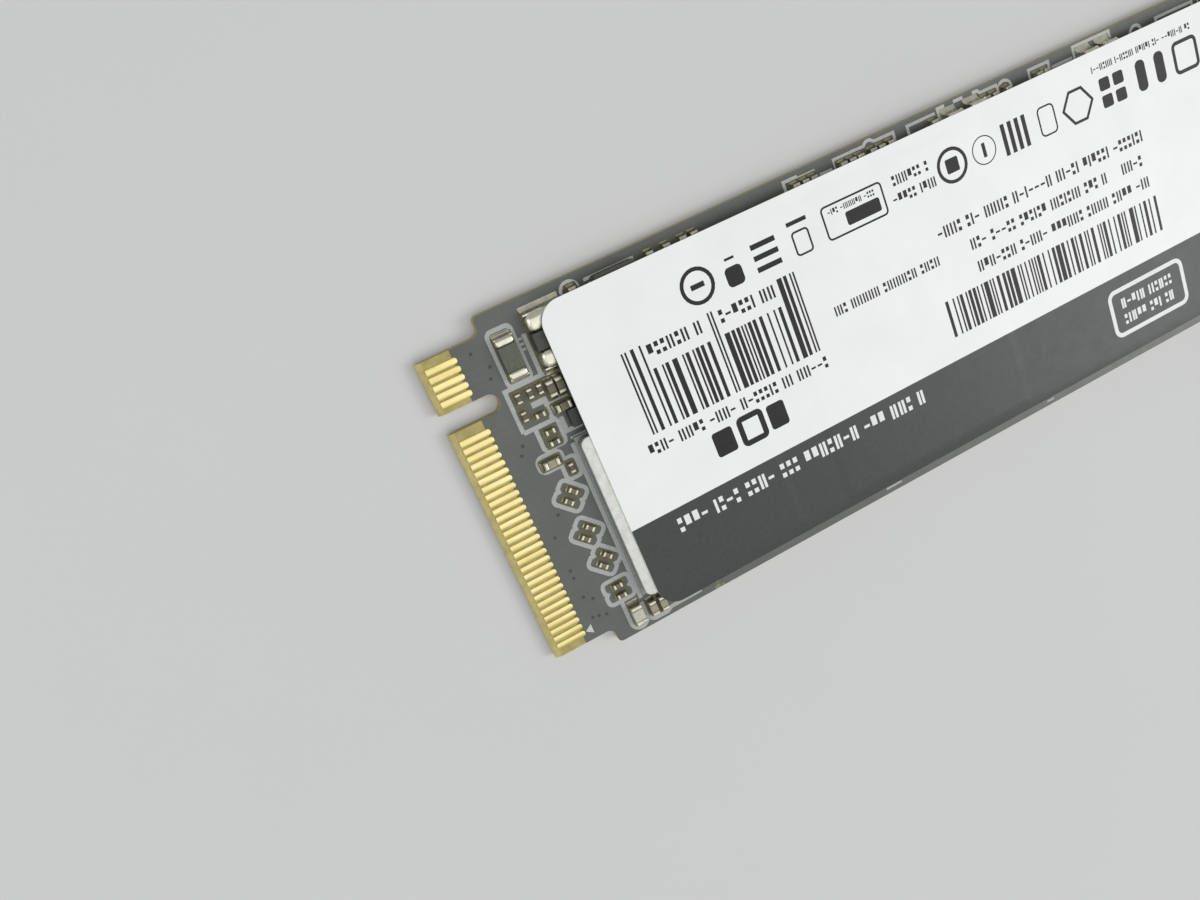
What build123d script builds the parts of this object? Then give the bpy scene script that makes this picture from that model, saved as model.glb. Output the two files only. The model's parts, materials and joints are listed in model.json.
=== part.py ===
from build123d import *

import os

# A gumstick solid state drive: a bare printed board with contact fingers on a bevelled tongue at one
# end and a half-round screw notch at the other. Chips and chip parts stand on its top face, and a thin
# label lies over the chips. X runs from the contacts to the notch, Y across the board, and Z up from
# the bare underside. Places on the board are given by their distance from the leading edge of the
# tongue and their offset from the board's centre line. All sizes are in millimetres.

# Board, in plan and through its thickness
board_length = 80.0
board_width = 22.0
laminate_thickness = 0.72
mask_thickness = 0.03
plating_thickness = 0.04
board_corner_radius = 0.3

# Tongue, with the bevel of its leading edge and its key slot
tongue_length = 4.0
tongue_width = 19.85
shoulder_radius = 0.5
bevel_length = 0.35
bevel_depth = 0.2
key_slot_width = 1.2
key_slot_depth = 3.5

# Contact fingers: odd pins on the top face, even pins underneath, none at the key slot
pin_count = 75
pin_count_before_key = 58
key_pin_count = 8
contact_pitch = 0.5
contact_width = 0.36
contact_length = 1.9
contact_end_chamfer = 0.1
contact_bevel_gap = 0.03
finger_opening_margin = 0.02
mask_reach = 0.2
rim_opening_margin = 0.05

# Screw notch and its plated rims
notch_radius = 1.75
notch_rim_width = 1.0

# Chips that the label lies on: all of them are as high over the solder mask
chip_height = 1.1
substrate_height = 0.3
controller_size = 11.0
controller_setback = 6.5
controller_offset = -3.26
lid_inset = 0.06
lid_corner_radius = 0.5
lid_edge_chamfer = 0.05
flash_length = 14.0
flash_width = 18.0
outer_flash_end_gap = 8.5
pin_mark_radius = 0.5
pin_mark_depth = 0.05
pin_mark_inset = 1.2

# Other chips under the label or beside it, the power manager by its step from the controller's middle
power_manager_size = 4.0
power_manager_height = 0.8
power_manager_step = 3.0
power_manager_offset = 5.2
lead_count = 6
lead_pitch = 0.55
lead_width = 0.28
lead_height = 0.2
lead_reach = 0.12
load_switch_size = (1.6, 1.1, 0.6)
load_switch_place = (7.55, 3.42)
crystal_length = 2.0
crystal_width = 1.6
crystal_base_height = 0.3
crystal_lid_height = 0.25
crystal_lid_inset = 0.12
crystal_corner_radius = 0.3
crystal_offset = -5.6
crystal_gap = 0.32

# Power inductors: length, width and height, with a metal foot round each end
large_inductor_size = (3.0, 2.6, 1.0)
small_inductor_size = (2.5, 2.0, 1.0)
large_inductor_place = (12.5, 9.1)
small_inductor_step = -1.43
small_inductor_offset = 5.4
channel_inductor_offset = 6.6
inductor_foot_length = 0.6
inductor_foot_height = 0.3
inductor_foot_thickness = 0.1
inductor_corner_radius = 0.25

# Chip parts: length, width, height and the length of the metal cap on each end
tiny_chip = (0.6, 0.32, 0.32, 0.17)
small_chip = (1.0, 0.5, 0.5, 0.26)
corner_chip = (1.3, 0.75, 0.6, 0.3)
fuse_chip = (2.5, 1.15, 0.6, 0.5)
bulk_chip = (2.0, 1.15, 0.9, 0.45)
input_inductor_chip = (3.35, 2.5, 0.95, 1.15)
cap_wall = 0.02

# Solder joints: how far they reach out past a chip part's end, for its height, and their sharp top
solder_reach_share = 0.45
solder_climb_share = 0.75
solder_side_slope = 0.05
solder_lip = 0.03

# Places of the chip parts: from the leading edge, from the centre line, and turn in degrees
coupling_pairs = ((4.95, -0.93, -45), (4.96, -3.49, -45), (5.26, -5.58, -45), (5.3, -7.8, 0))
coupling_pair_pitch = 0.7
tiny_supply_places = (
    (4.5, 5.75, 90), (5.23, 5.75, 90), (5.87, 5.75, 90), (4.4, 4.66, 90),
    (5.28, 4.35, 0), (5.4, 3.2, 0), (5.4, 2.5, 0), (5.7, 0.65, 90),
)
small_supply_places = ((6.48, 5.5, 90), (7.06, 5.5, 90), (6.75, 4.25, 0), (4.7, 1.45, 0))
fuse_place = (5.08, 8.13, 90)
input_inductor_place = (7.8, 8.33, 90)

# Corner parts stand across the lower margin, inset from the board's lower long edge
corner_chip_setback = 5.72
corner_chip_inset = 1.25
corner_capacitor_setbacks = (6.8, 7.5)
corner_capacitor_inset = 1.13

# Edge and bulk capacitors stand across the upper margin, inset from the upper long edge: some at the
# controller, from the leading edge, some beside each flash package, from where it starts, and some
# beyond the inner package, from where it ends
edge_capacitor_inset = 1.2
controller_edge_setbacks = (9.9, 15.0, 16.13, 17.25, 18.0)
inner_flash_edge_steps = (3.47, 4.15, 4.75, 6.94, 7.6, 8.2, 9.14, 9.79, 10.49)
middle_edge_steps = (-0.16, 3.95, 4.62, 5.66, 8.2, 8.8)
outer_flash_edge_steps = (0.9, 1.6, 2.3, 3.5, 4.2, 6.1, 7.8, 8.5, 10.7)
bulk_capacitor_inset = 1.7
bulk_capacitor_steps = (1.15, 2.95, 12.15, 13.75)

# Decoupling capacitors stand in rows beside the controller and each flash package
decoupling_gap = 0.9
decoupling_count = 6
controller_row_pitch = 1.6
flash_row_pitch = 2.6

# Label: one sheet, flat over the chips, with its lower edge bent down past them
label_thickness = 0.12
label_setback = 7.26
label_end_gap = 6.5
label_upper_margin = 0.82
label_overhang = 0.87
label_corner_radius = 1.4
label_bend_radius = 6.0
label_bend_clearance = 0.05

# Places and levels that follow from the sizes above
lead_x = -board_length / 2
end_x = board_length / 2
shoulder_x = lead_x + tongue_length
body_length = board_length - tongue_length
laminate_bottom = plating_thickness
laminate_top = laminate_bottom + laminate_thickness
mask_top = laminate_top + mask_thickness
contact_start_x = lead_x + bevel_length + contact_bevel_gap
contact_x = contact_start_x + contact_length / 2
mask_x = contact_start_x + contact_length - mask_reach
notch_rim_radius = notch_radius + notch_rim_width
lid_size = controller_size - 2 * lid_inset
small_chip_reach = small_chip[0] / 2 + small_chip[2] * solder_reach_share
controller_middle = controller_setback + controller_size / 2
controller_end = controller_setback + controller_size
controller_row_setback = controller_end + decoupling_gap
power_manager_place = (controller_middle + power_manager_step, power_manager_offset)
crystal_setback = controller_row_setback + small_chip_reach + crystal_gap + crystal_length / 2
inner_flash_setback = crystal_setback + crystal_length / 2 + crystal_gap
inner_flash_end = inner_flash_setback + flash_length
outer_flash_setback = board_length - outer_flash_end_gap - flash_length
label_bottom = mask_top + chip_height
label_bend_y = min(-flash_width / 2, controller_offset - controller_size / 2) - label_bend_clearance
label_upper_y = board_width / 2 - label_upper_margin
label_lower_y = label_bend_y - label_overhang
label_length = board_length - label_setback - label_end_gap
label_width = label_upper_y - label_lower_y
label_x = lead_x + label_setback + label_length / 2
STANDING = (Align.CENTER, Align.CENTER, Align.MIN)


def on_board(setback, offset, turn=0):
    """A place on the solder mask, turned about the vertical."""
    return Location((lead_x + setback, offset, mask_top), (0, 0, turn))


def pin_y(pin):
    """Offset of a contact from the board's centre line, which the middle pin lies on."""
    return (pin - (pin_count + 1) / 2) * contact_pitch / 2


def board_plan(notch):
    """The board's outline in plan, with its key slot and a screw notch of the given radius."""
    with BuildSketch() as plan:
        with Locations((shoulder_x + body_length / 2, 0)):
            Rectangle(body_length, board_width)
        with Locations((lead_x + tongue_length / 2, 0)):
            Rectangle(tongue_length, tongue_width)
        at_shoulder = plan.vertices().group_by(Axis.X)[1].sort_by(Axis.Y)
        fillet(at_shoulder[1:3], shoulder_radius)
        by_side = plan.vertices().group_by(Axis.Y)
        fillet(by_side[0] + by_side[-1], board_corner_radius)
        with Locations((lead_x, pin_y(pin_count_before_key + (key_pin_count + 1) / 2))):
            SlotOverall(2 * key_slot_depth, key_slot_width, mode=Mode.SUBTRACT)
        with Locations((end_x, 0)):
            Circle(notch, mode=Mode.SUBTRACT)
    return plan.sketch


def finger_plan(first_pin, last_pin, margin=0.0):
    """Every second contact from the first pin to the last, in plan: fingers with cut inner corners."""
    count = int((last_pin - first_pin) / 2) + 1
    with BuildSketch() as fingers:
        with Locations((contact_x, pin_y((first_pin + last_pin) / 2))):
            with GridLocations(0, contact_pitch, 1, count):
                Rectangle(contact_length + 2 * margin, contact_width + 2 * margin)
        chamfer(fingers.vertices().group_by(Axis.X)[-1], contact_end_chamfer)
    return fingers.sketch


def solder_mask(level, pin_groups):
    """A skin over the board's face that runs in between the contacts, open round the notch's rims."""
    with BuildPart() as mask:
        with BuildSketch(Plane.XY.offset(level)):
            add(board_plan(notch_rim_radius + rim_opening_margin))
            with Locations(((lead_x + mask_x) / 2, 0)):
                Rectangle(mask_x - lead_x, board_width, mode=Mode.SUBTRACT)
            for first_pin, last_pin in pin_groups:
                add(finger_plan(first_pin, last_pin, finger_opening_margin), mode=Mode.SUBTRACT)
        extrude(amount=mask_thickness)
    return mask.part


def contact_row(level, first_pin, last_pin):
    """A group of flat contact fingers on one face."""
    with BuildPart() as row:
        with BuildSketch(Plane.XY.offset(level)):
            add(finger_plan(first_pin, last_pin))
        extrude(amount=plating_thickness)
    return row.part


def chip_bodies(places, size):
    """The ceramic middles of chip parts, between the metal caps of their ends."""
    length, width, height, cap = size
    with BuildPart() as bodies:
        with Locations(places):
            Box(length - 2 * cap, width - 2 * cap_wall, height - cap_wall, align=STANDING)
    return bodies.part


def chip_caps(places, size):
    """The metal caps on both ends of chip parts."""
    length, width, height, cap = size
    with BuildPart() as caps:
        with Locations(places):
            with GridLocations(length - cap, 0, 2, 1):
                Box(cap, width, height, align=STANDING)
    return caps.part


def solder_joints(places, size):
    """Solder that climbs the two ends of each chip part from the board."""
    length, width, height, _ = size
    reach = height * solder_reach_share
    climb = height * solder_climb_share
    ends = (Location((length / 2, 0, 0)), Location((-length / 2, 0, 0), (0, 0, 180)))
    with BuildPart() as joints:
        with Locations(places):
            with Locations(ends):
                Wedge(reach, climb, width, 0, solder_side_slope, solder_lip, width - solder_side_slope,
                      rotation=(90, 0, 0), align=(Align.MIN, Align.MIN, Align.CENTER))
    return joints.part


os.makedirs("parts", exist_ok=True)

# Laminate, with both long edges of its leading end bevelled
with BuildPart() as board_laminate:
    with BuildSketch(Plane.XY.offset(laminate_bottom)):
        add(board_plan(notch_radius))
    extrude(amount=laminate_thickness)
    for level in (0, -1):
        face = board_laminate.faces().filter_by(Axis.Z).sort_by(Axis.Z)[level]
        leading_edges = face.edges().filter_by(Axis.Y).group_by(Axis.X)[0]
        chamfer(leading_edges, bevel_length, bevel_depth, reference=face)
board_laminate.part.label = "board_laminate"
export_step(board_laminate.part, "parts/board_laminate.step")

# Solder mask and contact fingers of each face, the fingers in a long and a short group
pin_count_through_key = pin_count_before_key + key_pin_count
top_pins = {"long": (1, pin_count_before_key - 1), "short": (pin_count_through_key + 1, pin_count)}
bottom_pins = {"long": (2, pin_count_before_key), "short": (pin_count_through_key + 2, pin_count - 1)}
face_layers = {
    "top": (laminate_top, laminate_top, top_pins),
    "bottom": (laminate_bottom - mask_thickness, laminate_bottom - plating_thickness, bottom_pins),
}
for face_name, (mask_level, plating_level, pin_groups) in face_layers.items():
    mask = solder_mask(mask_level, pin_groups.values())
    mask.label = f"solder_mask_{face_name}"
    export_step(mask, f"parts/{mask.label}.step")
    for group, (first_pin, last_pin) in pin_groups.items():
        row = contact_row(plating_level, first_pin, last_pin)
        row.label = f"contacts_{face_name}_{group}"
        export_step(row, f"parts/{row.label}.step")

# Plated rims of the screw notch: a half ring on each face
with BuildPart() as screw_notch_rims:
    for level in (0, laminate_top):
        with BuildSketch(Plane.XY.offset(level)):
            with Locations((end_x, 0)):
                Circle(notch_rim_radius)
                Circle(notch_radius, mode=Mode.SUBTRACT)
            with Locations((end_x - notch_rim_radius / 2, 0)):
                Rectangle(notch_rim_radius, 2 * notch_rim_radius, mode=Mode.INTERSECT)
        extrude(amount=plating_thickness)
screw_notch_rims.part.label = "screw_notch_rims"
export_step(screw_notch_rims.part, "parts/screw_notch_rims.step")

# Controller: a laminate substrate under a metal lid with softened edges
with BuildPart() as controller_substrate:
    with Locations((lead_x + controller_middle, controller_offset, mask_top)):
        Box(controller_size, controller_size, substrate_height, align=STANDING)
controller_substrate.part.label = "controller_substrate"
export_step(controller_substrate.part, "parts/controller_substrate.step")

with BuildPart() as controller_lid:
    with BuildSketch(Plane.XY.offset(mask_top + substrate_height)):
        with Locations((lead_x + controller_middle, controller_offset)):
            RectangleRounded(lid_size, lid_size, lid_corner_radius)
    extrude(amount=chip_height - substrate_height)
    chamfer(controller_lid.edges().group_by(Axis.Z)[-1], lid_edge_chamfer)
controller_lid.part.label = "controller_lid"
export_step(controller_lid.part, "parts/controller_lid.step")

# Flash packages: a laminate substrate and a moulded body with a round pin mark
for name, setback in (("inner_flash", inner_flash_setback), ("outer_flash", outer_flash_setback)):
    x = lead_x + setback + flash_length / 2
    with BuildPart() as flash_substrate:
        with Locations((x, 0, mask_top)):
            Box(flash_length, flash_width, substrate_height, align=STANDING)
    flash_substrate.part.label = f"{name}_substrate"
    export_step(flash_substrate.part, f"parts/{name}_substrate.step")

    with BuildPart() as flash_moulding:
        with Locations((x, 0, mask_top + substrate_height)):
            Box(flash_length, flash_width, chip_height - substrate_height, align=STANDING)
        with BuildSketch(flash_moulding.faces().sort_by(Axis.Z)[-1]):
            with Locations((pin_mark_inset - flash_length / 2, pin_mark_inset - flash_width / 2)):
                Circle(pin_mark_radius)
        extrude(amount=-pin_mark_depth, mode=Mode.SUBTRACT)
    flash_moulding.part.label = f"{name}_moulding"
    export_step(flash_moulding.part, f"parts/{name}_moulding.step")

# Power manager: a flat square chip with short leads at all four sides
with BuildPart() as power_manager:
    with Locations(on_board(*power_manager_place)):
        Box(power_manager_size, power_manager_size, power_manager_height, align=STANDING)
power_manager.part.label = "power_manager"
export_step(power_manager.part, "parts/power_manager.step")

with BuildPart() as power_manager_leads:
    for turn in (0, 90, 180, 270):
        with Locations(on_board(*power_manager_place, turn)):
            with Locations(((power_manager_size + lead_reach) / 2, 0)):
                with GridLocations(0, lead_pitch, 1, lead_count):
                    Box(lead_reach, lead_width, lead_height, align=STANDING)
power_manager_leads.part.label = "power_manager_leads"
export_step(power_manager_leads.part, "parts/power_manager_leads.step")

# Load switch: a small moulded chip at the label's edge
with BuildPart() as load_switch:
    with Locations(on_board(*load_switch_place)):
        Box(*load_switch_size, align=STANDING)
load_switch.part.label = "load_switch"
export_step(load_switch.part, "parts/load_switch.step")

# Clock crystal: a ceramic base under a metal lid
with BuildPart() as crystal_base:
    with Locations(on_board(crystal_setback, crystal_offset)):
        Box(crystal_length, crystal_width, crystal_base_height, align=STANDING)
crystal_base.part.label = "crystal_base"
export_step(crystal_base.part, "parts/crystal_base.step")

with BuildPart() as crystal_lid:
    with BuildSketch(Plane.XY.offset(mask_top + crystal_base_height)):
        with Locations((lead_x + crystal_setback, crystal_offset)):
            RectangleRounded(crystal_length, crystal_width, crystal_corner_radius)
            offset(amount=-crystal_lid_inset, mode=Mode.REPLACE)
    extrude(amount=crystal_lid_height)
crystal_lid.part.label = "crystal_lid"
export_step(crystal_lid.part, "parts/crystal_lid.step")

# Power inductors: a pressed core, cut back at both ends for the metal feet that wrap under it, with one
# of them midway between the controller and the inner flash package
small_inductor_place = (controller_middle + small_inductor_step, small_inductor_offset)
channel_inductor_place = ((controller_end + inner_flash_setback) / 2, channel_inductor_offset)
power_inductors = {
    "large_inductor": (large_inductor_size, [large_inductor_place]),
    "small_inductor": (small_inductor_size, [small_inductor_place, channel_inductor_place]),
}
for name, ((length, width, height), spots) in power_inductors.items():
    places = [on_board(*spot) for spot in spots]
    foot_pitch = length - inductor_foot_length
    foot_width = width - 2 * inductor_corner_radius
    with BuildPart() as inductor_cores:
        with Locations(places):
            Box(length - 2 * inductor_foot_thickness, width, height, align=STANDING)
        fillet(inductor_cores.edges().filter_by(Axis.Z), inductor_corner_radius)
        with Locations(places):
            with GridLocations(foot_pitch, 0, 2, 1):
                Box(inductor_foot_length, width, inductor_foot_thickness, align=STANDING, mode=Mode.SUBTRACT)
    inductor_cores.part.label = f"{name}_cores"
    export_step(inductor_cores.part, f"parts/{name}_cores.step")

    with BuildPart() as inductor_feet:
        with Locations(places):
            with GridLocations(foot_pitch, 0, 2, 1):
                Box(inductor_foot_length, foot_width, inductor_foot_thickness, align=STANDING)
            with GridLocations(length - inductor_foot_thickness, 0, 2, 1):
                Box(inductor_foot_thickness, foot_width, inductor_foot_height, align=STANDING)
    inductor_feet.part.label = f"{name}_feet"
    export_step(inductor_feet.part, f"parts/{name}_feet.step")

# Chip parts, by kind: where they stand, and their size
coupling_places = [
    on_board(*pair) * Location((0, side * coupling_pair_pitch / 2, 0))
    for pair in coupling_pairs
    for side in (-1, 1)
]
corner_chip_y = corner_chip_inset - board_width / 2
corner_y = corner_capacitor_inset - board_width / 2
edge_y = board_width / 2 - edge_capacitor_inset
edge_setbacks = (
    list(controller_edge_setbacks)
    + [inner_flash_setback + step for step in inner_flash_edge_steps]
    + [inner_flash_end + step for step in middle_edge_steps]
    + [outer_flash_setback + step for step in outer_flash_edge_steps]
)
bulk_y = board_width / 2 - bulk_capacitor_inset
bulk_setbacks = [inner_flash_end + step for step in bulk_capacitor_steps]
decoupling_rows = (
    (controller_row_setback, controller_offset, controller_row_pitch),
    (inner_flash_end + decoupling_gap, 0, flash_row_pitch),
    (outer_flash_setback - decoupling_gap, 0, flash_row_pitch),
)
decoupling_places = [
    on_board(setback, offset + (index - (decoupling_count - 1) / 2) * pitch)
    for setback, offset, pitch in decoupling_rows
    for index in range(decoupling_count)
]
chip_parts = {
    "coupling_capacitor": (coupling_places, tiny_chip),
    "tiny_supply_chip": ([on_board(*place) for place in tiny_supply_places], tiny_chip),
    "small_supply_chip": ([on_board(*place) for place in small_supply_places], small_chip),
    "corner_chip": ([on_board(corner_chip_setback, corner_chip_y, 90)], corner_chip),
    "corner_capacitor": ([on_board(x, corner_y, 90) for x in corner_capacitor_setbacks], small_chip),
    "input_fuse": ([on_board(*fuse_place)], fuse_chip),
    "input_inductor": ([on_board(*input_inductor_place)], input_inductor_chip),
    "edge_capacitor": ([on_board(x, edge_y, 90) for x in edge_setbacks], small_chip),
    "bulk_capacitor": ([on_board(x, bulk_y, 90) for x in bulk_setbacks], bulk_chip),
    "decoupling_capacitor": (decoupling_places, small_chip),
}
for name, (places, size) in chip_parts.items():
    for suffix, make in (("bodies", chip_bodies), ("caps", chip_caps), ("solder", solder_joints)):
        piece = make(places, size)
        piece.label = f"{name}_{suffix}"
        export_step(piece, f"parts/{name}_{suffix}.step")

# Label: the bent section, run along the board and cut to a plan with round corners
with BuildPart() as label_sheet:
    with BuildSketch(Plane.YZ.offset(label_x - label_length / 2)):
        with BuildLine():
            flat = Line((label_upper_y, label_bottom + label_thickness / 2),
                        (label_bend_y, label_bottom + label_thickness / 2))
            JernArc(flat @ 1, flat % 1, label_bend_radius, 90)
        trace(line_width=label_thickness)
    extrude(amount=label_length)
    with BuildSketch():
        with Locations((label_x, label_upper_y - label_width / 2)):
            RectangleRounded(label_length, label_width, label_corner_radius)
    extrude(amount=label_bottom + 2 * label_thickness, mode=Mode.INTERSECT)
label_sheet.part.label = "label_sheet"
export_step(label_sheet.part, "parts/label_sheet.step")
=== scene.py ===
import json
import math
import random

import bmesh
import bpy
from mathutils import Euler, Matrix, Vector


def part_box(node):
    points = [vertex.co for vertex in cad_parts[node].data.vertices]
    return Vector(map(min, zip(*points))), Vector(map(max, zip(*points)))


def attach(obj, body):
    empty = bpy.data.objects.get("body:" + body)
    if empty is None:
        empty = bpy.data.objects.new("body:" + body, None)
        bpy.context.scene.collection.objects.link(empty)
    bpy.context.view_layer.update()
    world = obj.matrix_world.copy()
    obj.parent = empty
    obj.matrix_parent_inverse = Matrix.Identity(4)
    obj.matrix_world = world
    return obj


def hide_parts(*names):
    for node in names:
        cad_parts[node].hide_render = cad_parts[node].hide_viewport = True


# The looks of a gumstick solid state drive: finishes for its board, chips and metal, the pale line print
# on its solder mask, and the generic print on its label. Sizes and places are in millimetres and angles
# in degrees, in the frame of the solid model: X from the contacts to the notch, Y across, Z up.
MM = 0.001
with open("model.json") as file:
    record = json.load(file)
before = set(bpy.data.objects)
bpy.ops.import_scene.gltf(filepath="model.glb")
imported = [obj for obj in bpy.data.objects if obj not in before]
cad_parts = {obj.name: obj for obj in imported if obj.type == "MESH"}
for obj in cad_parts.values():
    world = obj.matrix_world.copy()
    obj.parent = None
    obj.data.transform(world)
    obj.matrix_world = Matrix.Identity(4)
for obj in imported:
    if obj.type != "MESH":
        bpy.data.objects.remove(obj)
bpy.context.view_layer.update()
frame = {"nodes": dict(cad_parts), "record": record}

# Thickness of printed and raised layers, and how much higher each line lies than the one before it
line_print_height = 0.012
line_rise = 0.0002
trace_height = 0.004
via_height = 0.005
window_height = 0.006
label_print_height = 0.006

# Edges of the solids: the rounding that goes with each finish, and the angle from which an edge is rounded
soft_edges = {
    "gold": 0.008, "nickel": 0.02, "tin": 0.03, "solder": 0.045, "brown_ceramic": 0.02,
    "pale_ceramic": 0.025, "dark_ceramic": 0.03, "ferrite": 0.03, "moulding": 0.02, "substrate": 0.01,
    "laminate": 0.015,
}
edge_segments = 3
edge_angle = 35
weld_distance = 0.0005

# Metal ends of the chip parts that show: how far their top edges are rounded to the side and down
cap_rounding = {
    "coupling_capacitor": (0.05, 0.06), "tiny_supply_chip": (0.05, 0.06), "small_supply_chip": (0.09, 0.1),
    "corner_capacitor": (0.09, 0.1), "edge_capacitor": (0.09, 0.1), "corner_chip": (0.1, 0.1),
    "bulk_capacitor": (0.17, 0.14), "input_fuse": (0.2, 0.14), "input_inductor": (0.45, 0.3),
}
glossy_kinds = ("input_fuse", "input_inductor", "bulk_capacitor")

# Solder joints: the radius of their corners, and how far each runs into the end that it holds
solder_corner = 0.03
solder_root = 0.07

# Ends and joints: the least radius and reach, and the angle between faces up to which they look smooth
least_corner = 0.01
smooth_below = 50

# Glass cloth, and how far up a face looks, from 0 to 1, where it counts as a slope and where as flat
weave_pitch = 0.42
slope_from = 0.3
flat_from = 0.98

# Supply chips below this place across the board have brown bodies
brown_body_below = 3.0

# Line print: widths of lines, the shortest step that has a direction, and the least cosine at a corner
outline_width = 0.27
broad_line_width = 0.37
fine_line_width = 0.15
margin_line_width = 0.2
shortest_step = 1e-9
least_mitre = 0.4

# Outline round a pair of chips
pair_half_length = 0.9
pair_half_width = 0.78
pair_corner_radius = 0.3
pair_corner_steps = 5
pair_notch = 0.14

# Boxes round the groups of chips on the far part of the upper margin
far_margin_start = 18.0
far_group_gap = 1.0
far_box_reach = 0.42
far_box_edge = (9.6, 10.64)

# Label: the edge of its dark band, and how the chips below show through
band_edge_y = -4.31
emboss_depth = 0.02
emboss_softness = 0.7

# Print on the label: seed for its random marks
print_seed = 11

# Upright bars on the label: their module, and the widths and gaps that occur, in modules
bar_module = 0.115
bar_widths = (1, 1, 1, 2, 2, 3)
bar_gaps = (1, 1, 2, 2, 3)

# Marks in the place of text: their kinds, and their sizes as shares of the height of a row
mark_kinds = ("post", "pair", "pair", "pips", "pips", "dash", "block")
mark_widths = {"pair": 0.5, "pips": 0.32, "dash": 0.45, "block": 0.42}
mark_stroke = 0.17
mark_gap = 0.2
marks_in_group = (3, 7)
group_gap = 0.4
lower_pip_top = 0.32
upper_pip_foot = 0.62
dash_level = 0.5
block_foot = 0.3

# Openings in the lacquer round the pads, with more room beside narrow parts
window_reach = 0.24
window_margin = 0.08
narrow_window_margin = 0.17
window_radius = 0.14
narrow_part = 0.6

# Traces that run on from the contacts, and vias
trace_width = 0.12
trace_length = 1.1
trace_gap = 0.04
via_radius = 0.11
via_sides = 12

# Stage: the floor lies a hair under the drive, and turns into the backdrop between two distances from it
floor_size = 4000.0
floor_gap = 0.02
floor_fade = (130.0, 360.0)
backdrop_colour = (0.6, 0.6, 0.595, 1.0)
world_colour = (0.95, 0.97, 1.0, 1.0)
world_strength = 0.36

# Square lamps: name, place, the point that each faces, length of side, and watts
lamps = (
    ("overhead", (-20, -160, 520), (0, 0, 0), 660, 1.34),
    ("left_glint", (-430, 80, 360), (-20, 0, 0), 220, 0.6),
    ("far_side", (420, -160, 400), (0, 0, 0), 300, 1.2),
)

# Camera: place, turn about each axis, lens and sensor, and the least distance that it sees
camera_place = (-42.385, 15.305, 50.777)
camera_turn = (-10.034, -16.785, -23.647)
lens_length = 26.6
sensor_width = 36.0
near_clip = 1.0


def box_mm(node):
    """Lowest and highest corner of a solid, in millimetres."""
    low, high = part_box(node)
    return low / MM, high / MM


mask_top = box_mm("solder_mask_top")[1].z
mask_bottom = box_mm("solder_mask_bottom")[0].z
label_top = box_mm("label_sheet")[1].z
contacts_end = box_mm("contacts_top_long")[1].x


# Node trees

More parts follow.
